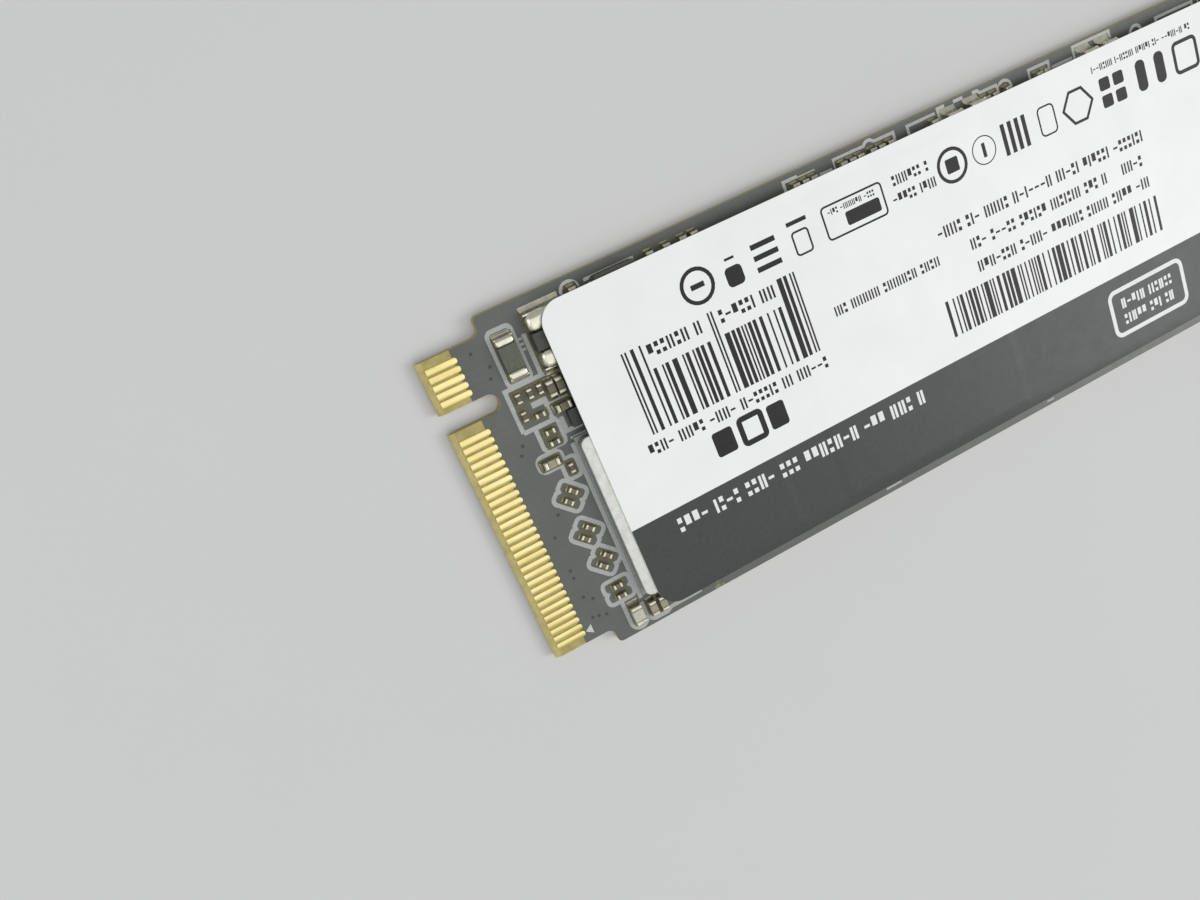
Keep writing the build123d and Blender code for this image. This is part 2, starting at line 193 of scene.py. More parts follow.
class Finish:
    """One material's nodes, over the object's own coordinates in millimetres."""

    def __init__(self, name, sockets):
        self.material = bpy.data.materials.new(name)
        self.material.use_nodes = True
        self.tree = self.material.node_tree
        self.shader = self.tree.nodes["Principled BSDF"]
        for socket, value in sockets.items():
            self.shader.inputs[socket].default_value = value
        self.object_place = self.node("ShaderNodeTexCoord").outputs["Object"]
        self.place = self.stretched((1, 1, 1))
        self.normal = None

    def node(self, kind, **settings):
        made = self.tree.nodes.new(kind)
        for name, value in settings.items():
            setattr(made, name, value)
        return made

    def join(self, value, socket):
        """Links an output, or sets a plain value, on a node's input."""
        if isinstance(value, bpy.types.NodeSocket):
            self.tree.links.new(value, socket)
        else:
            socket.default_value = value

    def stretched(self, factors):
        """The place in millimetres, times a factor on each axis."""
        scale = self.node("ShaderNodeVectorMath", operation="MULTIPLY")
        self.join(self.object_place, scale.inputs[0])
        scale.inputs[1].default_value = [factor / MM for factor in factors]
        return scale.outputs["Vector"]

    def math(self, operation, a, b=0.0):
        made = self.node("ShaderNodeMath", operation=operation)
        self.join(a, made.inputs[0])
        self.join(b, made.inputs[1])
        return made.outputs["Value"]

    def part_of(self, vector, name):
        """One axis of a vector."""
        split = self.node("ShaderNodeSeparateXYZ")
        self.join(vector, split.inputs[0])
        return split.outputs[name]

    def axis(self, name):
        """The place along one axis."""
        return self.part_of(self.place, name)

    def upward(self):
        """How far up a face looks, from -1 to 1."""
        return self.part_of(self.node("ShaderNodeNewGeometry").outputs["True Normal"], "Z")

    def noise(self, size, stretch=(1, 1, 1), detail=3.0):
        """Smooth noise from 0 to 1 whose blotches are about the given size in millimetres."""
        made = self.node("ShaderNodeTexNoise")
        self.join(self.stretched(stretch), made.inputs["Vector"])
        made.inputs["Scale"].default_value = 1 / size
        made.inputs["Detail"].default_value = detail
        return made.outputs["Fac"]

    def weave(self, pitch):
        """The crossing threads of glass cloth, from 0 to 1. A wave repeats at pi / 10 over its scale."""
        threads = []
        for direction in ("X", "Y"):
            wave = self.node("ShaderNodeTexWave", bands_direction=direction)
            self.join(self.place, wave.inputs["Vector"])
            wave.inputs["Scale"].default_value = math.pi / (10 * pitch)
            wave.inputs["Distortion"].default_value = 0.4
            threads.append(wave.outputs["Fac"])
        return self.math("MULTIPLY", threads[0], threads[1])

    def ramp(self, value, low, high, low_at=0.3, high_at=0.7):
        """A colour that runs from one to another as a value rises."""
        made = self.node("ShaderNodeValToRGB")
        self.join(value, made.inputs["Fac"])
        for stop, position, colour in zip(made.color_ramp.elements, (low_at, high_at), (low, high)):
            stop.position = position
            stop.color = (*colour, 1.0)
        return made.outputs["Color"]

    def span(self, value, low, high, from_low=0.0, from_high=1.0, smooth=False):
        """A number that runs from low to high as a value rises."""
        made = self.node("ShaderNodeMapRange")
        made.interpolation_type = "SMOOTHSTEP" if smooth else "LINEAR"
        self.join(value, made.inputs["Value"])
        ends = {"From Min": from_low, "From Max": from_high, "To Min": low, "To Max": high}
        for socket, number in ends.items():
            made.inputs[socket].default_value = number
        return made.outputs["Result"]

    def mix(self, factor, a, b):
        """One colour or another; the node holds its colours in sockets 6 and 7, and the result in 2."""
        made = self.node("ShaderNodeMix", data_type="RGBA")
        self.join(factor, made.inputs[0])
        self.join(a, made.inputs[6])
        self.join(b, made.inputs[7])
        return made.outputs[2]

    def colour(self, value):
        self.join(value, self.shader.inputs["Base Color"])

    def roughness(self, value):
        self.join(value, self.shader.inputs["Roughness"])

    def relief(self, height, depth):
        """Fine relief of a given depth in millimetres, over any relief that is there already."""
        bump = self.node("ShaderNodeBump")
        self.join(height, bump.inputs["Height"])
        bump.inputs["Distance"].default_value = depth * MM
        bump.inputs["Strength"].default_value = 1.0
        if self.normal is not None:
            self.join(self.normal, bump.inputs["Normal"])
        self.normal = bump.outputs["Normal"]
        self.join(self.normal, self.shader.inputs["Normal"])


# Finishes

def lacquer_finish(name, dark, light):
    """Satin lacquer over glass cloth, with the weave just showing."""
    finish = Finish(name, {"Specular IOR Level": 0.82})
    blotches = finish.noise(2.2, detail=5.0)
    finish.colour(finish.ramp(blotches, dark, light))
    finish.roughness(finish.span(finish.noise(0.6), 0.42, 0.54))
    finish.relief(finish.weave(weave_pitch), 0.0015)
    finish.relief(finish.noise(0.05, detail=2.0), 0.001)
    return finish.material


def laminate_finish():
    """Bare glass laminate: woven on its faces, pale on its ground bevels and layered on its cut edges,
    whose colour is also painted lighter as painted light against the shade in the narrow key slot.
    """
    finish = Finish("laminate", {"Specular IOR Level": 0.4})
    resin = finish.noise(0.5, detail=5.0)
    face = finish.ramp(resin, (0.31, 0.26, 0.085), (0.45, 0.38, 0.13))
    layers = finish.noise(0.09, stretch=(0.02, 0.02, 1.0), detail=2.0)
    # Cut edges: layered, and painted lighter as painted light, to offset the shade on the narrow walls of
    # the key slot
    edge = finish.ramp(layers, (0.3, 0.245, 0.1), (0.5, 0.42, 0.19), 0.35, 0.65)
    bevel = finish.ramp(resin, (0.4, 0.335, 0.125), (0.53, 0.45, 0.18))
    tilt = finish.math("ABSOLUTE", finish.upward())
    sloped = finish.mix(finish.math("GREATER_THAN", tilt, slope_from), edge, bevel)
    finish.colour(finish.mix(finish.math("GREATER_THAN", tilt, flat_from), sloped, face))
    finish.roughness(finish.span(finish.noise(0.3), 0.5, 0.7))
    finish.relief(finish.weave(weave_pitch), 0.0015)
    finish.relief(finish.noise(0.06, stretch=(0.4, 0.4, 1.5)), 0.003)
    return finish.material


def metal_finish(name, dark, light, rough, grain=0.05, stretch=(1, 1, 1), depth=0.002):
    """Plated or soldered metal, with grain in its colour, gloss and relief."""
    finish = Finish(name, {"Metallic": 1.0})
    finish.colour(finish.ramp(finish.noise(grain * 6, stretch), dark, light))
    finish.roughness(finish.span(finish.noise(grain * 2, stretch), rough[0], rough[1], 0.3, 0.7))
    finish.relief(finish.noise(grain, stretch), depth)
    return finish.material


def ceramic_skin(finish, grain, rough=0.5):
    """Gives a finish the gloss and the fine bumps of fired or pressed grains."""
    finish.roughness(finish.span(finish.noise(grain * 3), rough - 0.08, rough + 0.1))
    finish.relief(finish.noise(grain), 0.004)


def ceramic_finish(name, dark, light, grain, rough=0.5):
    """Fired or pressed grains, in two tones."""
    finish = Finish(name, {"Specular IOR Level": 0.45})
    finish.colour(finish.ramp(finish.noise(grain * 2, detail=6.0), dark, light))
    ceramic_skin(finish, grain, rough)
    return finish.material


def supply_body_finish(grain):
    """Bodies of the small supply chips: olive ceramic, but brown where they lie low across the board."""
    finish = Finish("supply_bodies", {"Specular IOR Level": 0.45})
    grains = finish.noise(grain * 2, detail=6.0)
    brown = finish.ramp(grains, (0.25, 0.222, 0.148), (0.36, 0.322, 0.225))
    is_brown = finish.math("LESS_THAN", finish.axis("Y"), brown_body_below)
    finish.colour(finish.mix(is_brown, finish.ramp(grains, *olive), brown))
    ceramic_skin(finish, grain)
    return finish.material


def ink_finish(name, thin, full, grain, rough, shine=0.35):
    """Printed ink whose cover varies a little."""
    finish = Finish(name, {"Specular IOR Level": shine})
    finish.colour(finish.ramp(finish.noise(grain, detail=4.0), thin, full, 0.25, 0.6))
    finish.roughness(finish.span(finish.noise(grain * 3), rough - 0.06, rough + 0.06))
    finish.relief(finish.noise(grain * 0.6), 0.002)
    return finish.material


def chip_plateaus(finish):
    """Height of the label over the chips below it, from 0 between them to 1 on them."""
    highest = 0.0
    for node in ("controller_lid", "inner_flash_moulding", "outer_flash_moulding"):
        low, high = box_mm(node)
        inside = 1.0
        for axis, start, end in (("X", low.x, high.x), ("Y", low.y, high.y)):
            place = finish.axis(axis)
            rise = finish.span(place, 0.0, 1.0, start - emboss_softness, start, smooth=True)
            fall = finish.span(place, 1.0, 0.0, end, end + emboss_softness, smooth=True)
            inside = finish.math("MULTIPLY", inside, finish.math("MULTIPLY", rise, fall))
        highest = finish.math("MAXIMUM", highest, inside)
    return highest


def label_finish():
    """Satin label film, white above and charcoal in a band along its lower edge, drawn over the chips."""
    finish = Finish("label_paper", {"Specular IOR Level": 0.42})
    faces_up = finish.math("GREATER_THAN", finish.upward(), slope_from)
    in_band = finish.math("LESS_THAN", finish.axis("Y"), band_edge_y)
    printed = finish.math("MULTIPLY", faces_up, in_band)
    paper = finish.ramp(finish.noise(3.0, detail=6.0), (0.81, 0.822, 0.8), (0.85, 0.862, 0.84))
    band = finish.ramp(finish.noise(0.25, detail=6.0), (0.019, 0.024, 0.02), (0.028, 0.034, 0.029))
    finish.colour(finish.mix(printed, paper, band))
    finish.roughness(finish.span(finish.noise(0.8, detail=4.0), 0.36, 0.46))
    finish.relief(chip_plateaus(finish), emboss_depth)
    finish.relief(finish.noise(0.12), 0.0012)
    return finish.material


def seen_directly(tree):
    """1 for what the camera, a reflection or clear material sees, 0 for light that falls on a surface."""
    path = tree.nodes.new("ShaderNodeLightPath")
    seen = path.outputs["Is Camera Ray"]
    for kind in ("Is Glossy Ray", "Is Transmission Ray"):
        either = tree.nodes.new("ShaderNodeMath")
        either.operation = "MAXIMUM"
        tree.links.new(seen, either.inputs[0])
        tree.links.new(path.outputs[kind], either.inputs[1])
        seen = either.outputs["Value"]
    return seen


def floor_finish():
    """A plain pale sheet with a faint tooth, which runs out into the backdrop."""
    finish = Finish("pale_floor", {"Specular IOR Level": 0.2})
    finish.colour(finish.ramp(finish.noise(30.0), (0.61, 0.61, 0.605), (0.622, 0.622, 0.617)))
    finish.roughness(finish.span(finish.noise(4.0), 0.7, 0.8))
    distance = finish.node("ShaderNodeVectorMath", operation="LENGTH")
    finish.join(finish.place, distance.inputs[0])
    far = finish.span(distance.outputs["Value"], 0.0, 1.0, *floor_fade, smooth=True)
    glow = finish.node("ShaderNodeEmission")
    glow.inputs["Color"].default_value = backdrop_colour
    surface = finish.node("ShaderNodeMixShader")
    finish.join(finish.math("MULTIPLY", far, seen_directly(finish.tree)), surface.inputs["Fac"])
    finish.join(finish.shader.outputs["BSDF"], surface.inputs[1])
    finish.join(glow.outputs["Emission"], surface.inputs[2])
    finish.join(surface.outputs["Shader"], finish.tree.nodes["Material Output"].inputs["Surface"])
    return finish.material


def studio_world():
    """Even light from all round, in place of which the camera and reflections see the backdrop."""
    made = bpy.data.worlds.new("studio")
    made.use_nodes = True
    tree = made.node_tree
    light = tree.nodes["Background"]
    light.inputs["Color"].default_value = world_colour
    light.inputs["Strength"].default_value = world_strength
    backdrop = tree.nodes.new("ShaderNodeBackground")
    backdrop.inputs["Color"].default_value = backdrop_colour
    surface = tree.nodes.new("ShaderNodeMixShader")
    tree.links.new(seen_directly(tree), surface.inputs["Fac"])
    tree.links.new(light.outputs["Background"], surface.inputs[1])
    tree.links.new(backdrop.outputs["Background"], surface.inputs[2])
    tree.links.new(surface.outputs["Shader"], tree.nodes["World Output"].inputs["Surface"])
    return made


olive = ((0.11, 0.102, 0.062), (0.165, 0.153, 0.098))
finishes = {
    "laminate": laminate_finish(),
    "solder_mask": lacquer_finish("solder_mask", (0.042, 0.049, 0.038), (0.056, 0.065, 0.051)),
    "gold": metal_finish("gold", (0.61, 0.5, 0.195), (0.72, 0.615, 0.292), (0.28, 0.4),
                         stretch=(0.12, 1, 1), depth=0.0006),
    "nickel": metal_finish("nickel", (0.385, 0.395, 0.365), (0.465, 0.475, 0.445), (0.27, 0.4), 0.06),
    "tin": metal_finish("tin", (0.4, 0.39, 0.3), (0.56, 0.55, 0.45), (0.36, 0.5), 0.08),
    "solder": metal_finish("solder", (0.24, 0.23, 0.16), (0.4, 0.385, 0.29), (0.2, 0.36), 0.06,
                           depth=0.003),
    "substrate": ceramic_finish("substrate", (0.11, 0.12, 0.1), (0.16, 0.17, 0.145), 0.08),
    "moulding": ceramic_finish("moulding", (0.016, 0.016, 0.017), (0.034, 0.034, 0.035), 0.04, 0.48),
    "brown_ceramic": ceramic_finish("brown_ceramic", (0.25, 0.232, 0.155), (0.37, 0.346, 0.245), 0.05),
    "pale_ceramic": ceramic_finish("pale_ceramic", (0.42, 0.42, 0.33), (0.56, 0.56, 0.45), 0.05),
    "dark_ceramic": ceramic_finish("dark_ceramic", (0.066, 0.072, 0.05), (0.096, 0.104, 0.076), 0.06),
    "ferrite": ceramic_finish("ferrite", (0.026, 0.027, 0.022), (0.06, 0.062, 0.052), 0.04, 0.55),
    "label_paper": label_finish(),
}
pale_substrate = ceramic_finish("pale_substrate", (0.24, 0.262, 0.24), (0.31, 0.335, 0.31), 0.08)
bright_tin = metal_finish("bright_tin", (0.46, 0.45, 0.36), (0.62, 0.61, 0.51), (0.22, 0.34), 0.08,
                          depth=0.004)
dark_coat = ceramic_finish("dark_coat", (0.07, 0.066, 0.036), (0.115, 0.108, 0.066), 0.05)
olive_ceramic = ceramic_finish("olive_ceramic", *olive, 0.05)
supply_bodies = supply_body_finish(0.05)
line_print = ink_finish("line_print", (0.29, 0.305, 0.285), (0.42, 0.435, 0.41), 0.09, 0.55)
# The line print ink again, painted lighter: painted light for the lines on the upper margin and the pin
# mark, which catch more light
lit_line_print = ink_finish("lit_line_print", (0.42, 0.43, 0.4), (0.6, 0.61, 0.57), 0.09, 0.55)
covered_copper = lacquer_finish("covered_copper", (0.049, 0.056, 0.045), (0.064, 0.073, 0.058))
via_fill = ink_finish("via_fill", (0.034, 0.034, 0.03), (0.052, 0.052, 0.047), 0.1, 0.5)
bare_fibre = ink_finish("bare_fibre", (0.15, 0.14, 0.09), (0.27, 0.25, 0.17), 0.1, 0.7)
bare_pads = ink_finish("bare_pads", (0.075, 0.07, 0.036), (0.125, 0.118, 0.066), 0.12, 0.42)
dark_ink = ink_finish("dark_ink", (0.026, 0.025, 0.024), (0.01, 0.01, 0.01), 0.06, 0.4, shine=0.2)
white_ink = ink_finish("white_ink", (0.7, 0.705, 0.7), (0.8, 0.8, 0.795), 0.06, 0.42)


# The solids, with their finishes and softened edges

own_finishes = {
    "controller_substrate": pale_substrate, "tiny_supply_chip_bodies": dark_coat,
    "small_supply_chip_bodies": supply_bodies, "coupling_capacitor_bodies": olive_ceramic,
}


def soften(piece, width):
    """Rounds a solid's edges for show."""
    weld = piece.modifiers.new("weld", "WELD")
    weld.merge_threshold = weld_distance * MM
    bevel = piece.modifiers.new("soft_edges", "BEVEL")
    bevel.width = width * MM
    bevel.segments = edge_segments
    bevel.limit_method = "ANGLE"
    bevel.angle_limit = math.radians(edge_angle)
    shade = piece.modifiers.new("shading", "WEIGHTED_NORMAL")
    shade.keep_sharp = False


for subpart in frame["record"]["subparts"]:
    node, slot = subpart["node"], subpart["material_slot"]
    solid = frame["nodes"][node]
    solid.data.materials.clear()
    solid.data.materials.append(own_finishes.get(node, finishes[slot]))
    if slot in soft_edges:
        soften(solid, soft_edges[slot])


# The separate solids of a node, for what is printed or laid round them

def islands(node):
    """The corner points of each separate solid in a node, in millimetres and in the same order each run."""
    mesh = bmesh.new()
    mesh.from_mesh(frame["nodes"][node].data)
    bmesh.ops.remove_doubles(mesh, verts=mesh.verts, dist=weld_distance * MM)
    mesh.verts.index_update()
    waiting = set(mesh.verts)
    groups = []
    while waiting:
        group, frontier = set(), [waiting.pop()]
        while frontier:
            vert = frontier.pop()
            group.add(vert)
            near = {link.other_vert(vert) for link in vert.link_edges} & waiting
            waiting -= near
            frontier += near
        groups.append([vert.co / MM for vert in sorted(group, key=lambda vert: vert.index)])
    mesh.free()
    return sorted(groups, key=lambda points: tuple(middle(points)))


def middle(points):
    """The mean of some points."""
    return sum(points, Vector()) / len(points)


class ChipPart:
    """Place, turn and size of a chip part, read from its body and the caps and solder on its ends."""

    def __init__(self, body, caps, joints):
        self.centre = middle(body)
        ends = self.nearest_two(caps)
        along = (middle(ends[1]) - middle(ends[0])).normalized()
        across = Vector((-along.y, along.x, 0))
        reaches = [(corner - self.centre).dot(along) for corner in ends[1]]
        self.turn = math.degrees(math.atan2(along.y, along.x))
        self.length = 2 * max(reaches)
        self.cap_length = max(reaches) - min(reaches)
        self.width = 2 * max((corner - self.centre).dot(across) for corner in ends[1])
        self.low = min(corner.z for corner in ends[1])
        self.high = max(corner.z for corner in ends[1])
        solder = [corner for joint in self.nearest_two(joints) for corner in joint]
        self.solder_reach = max((corner - self.centre).dot(along) for corner in solder) - self.length / 2
        self.solder_top = max(corner.z for corner in solder)

    def nearest_two(self, solids):
        return sorted(solids, key=lambda points: (middle(points) - self.centre).length)[:2]

    def placed(self, points):
        """Points given along and across the part, at their place on the board."""
        return turned(points, self.centre.x, self.centre.y, self.turn)


def chip_parts(kind):
    caps, joints = islands(f"{kind}_caps"), islands(f"{kind}_solder")
    return [ChipPart(body, caps, joints) for body in islands(f"{kind}_bodies")]


# Flat shapes, as lists of points

def arc(x, y, radius, start, end, steps=10):
    """Points along an arc, from one angle to another."""
    angles = [math.radians(start + (end - start) * step / steps) for step in range(steps + 1)]
    return [(x + radius * math.cos(angle), y + radius * math.sin(angle)) for angle in angles]


def circle(x, y, radius, sides):
    """A closed outline with even sides."""
    return arc(x, y, radius, 0, 360 - 360 / sides, sides - 1)


def rounded_box(x0, x1, y0, y1, radius, steps=6):
    """A closed outline with round corners, anticlockwise."""
    corners = ((x1 - radius, y0 + radius, -90), (x1 - radius, y1 - radius, 0),
               (x0 + radius, y1 - radius, 90), (x0 + radius, y0 + radius, 180))
    return [point for x, y, start in corners for point in arc(x, y, radius, start, start + 90, steps)]


def turned(points, x, y, degrees):
    """Points turned about their origin and moved to a place."""
    cos, sin = math.cos(math.radians(degrees)), math.sin(math.radians(degrees))
    return [(x + px * cos - py * sin, y + px * sin + py * cos) for px, py in points]


def rails(path, width, closed):
    """The left and right edges of a line of the given width along a path."""
    points = [Vector(point) for point in path]
    count = len(points)
    left, right = [], []
    for index, point in enumerate(points):
        before = points[index - 1] if closed or index > 0 else point
        after = points[(index + 1) % count] if closed or index < count - 1 else point
        sides = [Vector((a.y - b.y, b.x - a.x)).normalized()
                 for a, b in ((before, point), (point, after)) if (b - a).length > shortest_step]
        across = (sides[0] + sides[-1]).normalized()
        reach = width / 2 / max(across.dot(sides[0]), least_mitre)
        left.append(point + across * reach)
        right.append(point - across * reach)
    return left, right


class Piece:
    """A closed mesh of the drive, made of rings of points."""

    def __init__(self):
        self.mesh = bmesh.new()

    def ring(self, points, level):
        return [self.mesh.verts.new((x * MM, y * MM, level * MM)) for x, y in points]

    def mound(self, rings):
        """A closed shape through rings of as many points, from its foot up."""
        rows = [self.ring(points, level) for points, level in rings]
        for below, above in zip(rows, rows[1:]):
            for index in range(len(below)):
                after = (index + 1) % len(below)
                self.mesh.faces.new((below[index], below[after], above[after], above[index]))
        self.mesh.faces.new(rows[0][::-1])
        self.mesh.faces.new(rows[-1])

    def finish(self, name, material, slot):
        """Turns the mesh into a piece of the drive."""
        bmesh.ops.recalc_face_normals(self.mesh, faces=self.mesh.faces)
        data = bpy.data.meshes.new(name)
        self.mesh.to_mesh(data)
        self.mesh.free()
        data.materials.append(material)
        piece = bpy.data.objects.new(name, data)
        bpy.context.scene.collection.objects.link(piece)
        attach(piece, "root")
        return piece


class Layer(Piece):
    """A thin printed or raised layer on a flat face, made of closed patches and lines."""

    def __init__(self, low, height, rise=0.0):
        super().__init__()
        self.low = low
        self.high = low + height
        self.rise = rise

    def lift(self):
        """Sets the next shape a hair higher, so that shapes that cross share no face."""
        self.high += self.rise

    def patch(self, points):
        """A filled shape."""
        self.mound([(points, self.low), (points, self.high)])
        self.lift()

    def bar(self, x0, x1, y0, y1):
        self.patch([(x0, y0), (x1, y0), (x1, y1), (x0, y1)])

    def line(self, path, width, closed=False):
        """A line of even width along a path."""
        left, right = rails(path, width, closed)
        rows = [self.ring(side, level) for level in (self.low, self.high) for side in (left, right)]
        low_left, low_right, high_left, high_right = rows
        count = len(path)
        for index in range(count if closed else count - 1):
            after = (index + 1) % count
            self.mesh.faces.new((high_right[index], high_right[after], high_left[after], high_left[index]))
            self.mesh.faces.new((low_left[index], low_left[after], low_right[after], low_right[index]))
            self.mesh.faces.new((low_right[index], low_right[after], high_right[after], high_right[index]))
            self.mesh.faces.new((low_left[after], low_left[index], high_left[index], high_left[after]))
        if not closed:
            for index in (0, count - 1):
                corners = (low_left[index], low_right[index], high_right[index], high_left[index])
                self.mesh.faces.new(corners)
        self.lift()

    def outline(self, x0, x1, y0, y1, radius, width):
        """A line round a box with round corners."""
        self.line(rounded_box(x0, x1, y0, y1, radius), width, closed=True)


# Rounded metal caps and hollow solder joints on the chip parts that show

def cap_rings(part, side, drop, steps=6):
    """The rings of a cap whose top edges are rounded by a reach to the side and a drop."""
    rings = []
    for step in range(steps + 1):
        angle = math.radians(90 * step / steps)
        inset = side * (1 - math.cos(angle))
        x, y = part.cap_length / 2 - inset, part.width / 2 - inset
        outline = rounded_box(-x, x, -y, y, max(side - inset, least_corner))
        rings.append((outline, part.high - drop * (1 - math.sin(angle))))
    return [(rings[0][0], part.low), *rings]


def solder_rings(part, steps=7):
    """The rings of a joint that sweeps in from its pad and up the end of its cap."""
    rings = []
    for step in range(steps + 1):
        angle = math.radians(90 * step / steps)
        reach = max(part.solder_reach * (1 - math.sin(angle)), least_corner)
        level = part.low + (part.solder_top - part.low) * (1 - math.cos(angle))
        outline = rounded_box(-solder_root, reach, -part.width / 2, part.width / 2, solder_corner, steps=2)
        rings.append((outline, level))
    return rings


def both_ends(piece, part, rings, reach):
    """Sets a shape, given along +X from a reach, on both ends of a chip part."""
    for end in (-1, 1):
        piece.mound([(part.placed([(end * (x + reach), end * y) for x, y in points]), level)
                     for points, level in rings])


def finish_metal(piece, name, material, slot, node):
    """Turns a mesh into smooth metal that stands for a node."""
    made = piece.finish(name, material, slot)
    made.data.shade_smooth()
    made.data.set_sharp_from_angle(angle=math.radians(smooth_below))
    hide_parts(node)


for kind, (side, drop) in cap_rounding.items():
    caps, joints = Piece(), Piece()
    for part in chip_parts(kind):
        both_ends(caps, part, cap_rings(part, side, drop), (part.length - part.cap_length) / 2)
        both_ends(joints, part, solder_rings(part), part.length / 2)
    glossy = kind in glossy_kinds
    cap_metal = bright_tin if glossy else finishes["tin"]
    joint_metal = bright_tin if glossy else finishes["solder"]
    finish_metal(caps, f"{kind}_rounded_caps", cap_metal, "tin", f"{kind}_caps")
    finish_metal(joints, f"{kind}_joints", joint_metal, "solder", f"{kind}_solder")


# Line print on the solder mask, round the parts that it marks out

# Boxes: start and end along the board, start and end across it, and corner radius
part_boxes = (
    (-35.68, -34.22, 6.52, 9.86, 0.3),
    (-35.32, -33.9, 2.22, 3.72, 0.2),
    (-36.06, -34.5, 1.02, 2.0, 0.38),
    (-34.78, -33.8, 0.0, 1.28, 0.25),
)

# Outlines round pairs: place and turn
pair_outlines = ((-35.05, -0.93, -45), (-35.04, -3.49, -45), (-34.74, -5.58, -45), (-34.72, -7.78, 0))

# Lines: the points that they run through
open_lines = (
    ((-33.68, 6.35), (-33.68, 9.0)),
    ((-36.04, 3.74), (-36.04, 6.42), (-33.5, 6.42)),
    ((-36.04, 3.74), (-34.0, 3.74)),
    ((-34.1, 4.78), (-32.75, 4.78)),
    ((-33.62, 3.7), (-33.62, 2.76), (-32.6, 2.76)),
    ((-33.64, 1.95), (-33.64, -9.0)),
    [(-34.86, -8.55), *arc(-34.3, -10.22, 0.56, 180, 325), *arc(-33.2, -10.26, 0.44, 205, 270),
     (-32.4, -10.7), (-32.1, -10.52), (-29.85, -10.5)],
    ((-33.74, -9.25), (-33.74, -10.5)),
)
broad_lines = (
    ((-34.95, 5.02), (-33.9, 5.02)),
    ((-34.08, 5.15), (-34.08, 3.7)),
)
fine_lines = (
    ((-33.62, 2.26), (-32.6, 2.26)),
    ((-34.2, 8.82), (-33.86, 8.82)),
    ((-34.2, 8.5), (-33.86, 8.5)),
    ((-34.2, 8.18), (-33.86, 8.18)),
    ((-15.4, -10.62), (-14.15, -10.62)),
    ((-1.65, -10.68), (-1.05, -10.68)),
)
upper_margin_lines = [
    arc(-30.18, 10.1, 0.56, 0, 180),
    ((-29.2, 10.34), (-25.9, 10.34)),
    ((-15.38, 9.6), (-15.38, 10.64), (-14.45, 10.64), (-14.4, 10.52), (-13.2, 10.52), (-13.2, 9.6)),
    ((-12.9, 10.14), (-11.95, 10.14)),
    [(-11.7, 9.6), (-11.7, 10.62), (-9.65, 10.62), *arc(-9.08, 10.4, 0.44, 150, 40, 6), (-8.6, 10.64),
     (-7.22, 10.64), (-7.22, 9.6)],
    ((-6.15, 9.6), (-6.15, 10.62), (-4.0, 10.62)),
    ((-3.75, 9.6), (-3.75, 10.82), (-3.2, 10.82)),
    ((-2.5, 10.82), (-1.75, 10.82)),
    ((-1.0, 10.82), (-0.6, 10.82), (-0.45, 10.64), (0.85, 10.64), (0.85, 9.6)),
    arc(1.45, 10.2, 0.52, 0, 180),
    ((3.5, 9.6), (3.5, 10.64), (5.1, 10.64), (5.1, 9.6)),
    ((5.3, 10.2), (7.0, 10.2)),
    ((7.2, 9.6), (7.2, 10.82), (10.25, 10.82), (10.25, 9.6)),
    arc(12.4, 9.95, 0.48, 0, 180),
    ((14.2, 9.6), (14.2, 10.3), (17.4, 10.3), (17.4, 9.6)),
]
pin_mark = ((-37.66, -9.22), (-37.2, -9.55), (-37.2, -8.92))


def pair_outline():
    """The outline round two chip parts that lie side by side, drawn in between them at both ends."""
    length, width, radius, notch = pair_half_length, pair_half_width, pair_corner_radius, pair_notch
    points = []
    for side, start in ((1, -90), (-1, 90)):
        middles = [(side * (length - radius), side * y) for y in (radius - width, width - radius)]
        points += arc(*middles[0], radius, start, start + 90, pair_corner_steps)
        dent = ((length, -notch), (length - notch, 0), (length, notch))
        points += [(side * x, side * y) for x, y in dent]
        points += arc(*middles[1], radius, start + 90, start + 180, pair_corner_steps)
    return points


def far_margin_boxes():
    """Open boxes round each group of edge capacitors on the far part of the upper margin."""
    groups = []
    for x in sorted(part.centre.x for part in chip_parts("edge_capacitor")):
        if x > far_margin_start and groups and x - groups[-1][1] < far_group_gap:
            groups[-1][1] = x
        elif x > far_margin_start:
            groups.append([x, x])
    low, high = far_box_edge
    boxes = [(first - far_box_reach, last + far_box_reach) for first, last in groups]
    return [((x0, low), (x0, high), (x1, high), (x1, low)) for x0, x1 in boxes]


lines = Layer(mask_top, line_print_height, line_rise)
for box in part_boxes:
    lines.outline(*box, outline_width)
for x, y, degrees in pair_outlines:
    lines.line(turned(pair_outline(), x, y, degrees), outline_width, closed=True)
for path in open_lines:
    lines.line(path, outline_width)
for path in broad_lines:
    lines.line(path, broad_line_width)
for path in fine_lines:
    lines.line(path, fine_line_width)
lines.finish("line_print", line_print, "solder_mask")

# Lines on the upper margin and the pin mark, in the lighter copy of the line print ink, which is painted
# light
margin_lines = Layer(mask_top, line_print_height, line_rise)
for path in upper_margin_lines + far_margin_boxes():
    margin_lines.line(path, margin_line_width)
margin_lines.patch(pin_mark)
margin_lines.finish("margin_line_print", lit_line_print, "solder_mask")


# Generic print on the label: bars, plain marks in rows, and simple shapes

print_random = random.Random(print_seed)


def bar_group(layer, x0, x1, y0, y1):
    """A group of upright bars of uneven widths."""
    x = x0
    while x < x1 - bar_module:
        width = bar_module * print_random.choice(bar_widths)
        layer.bar(x, min(x + width, x1), y0, y1)
        x += width + bar_module * print_random.choice(bar_gaps)


def bar_pair(layer, x, y0, y1):
    """Two thin bars that mark the end or the middle of a group."""
    for start in (x, x + 2 * bar_module):
        layer.bar(start, start + bar_module, y0, y1)


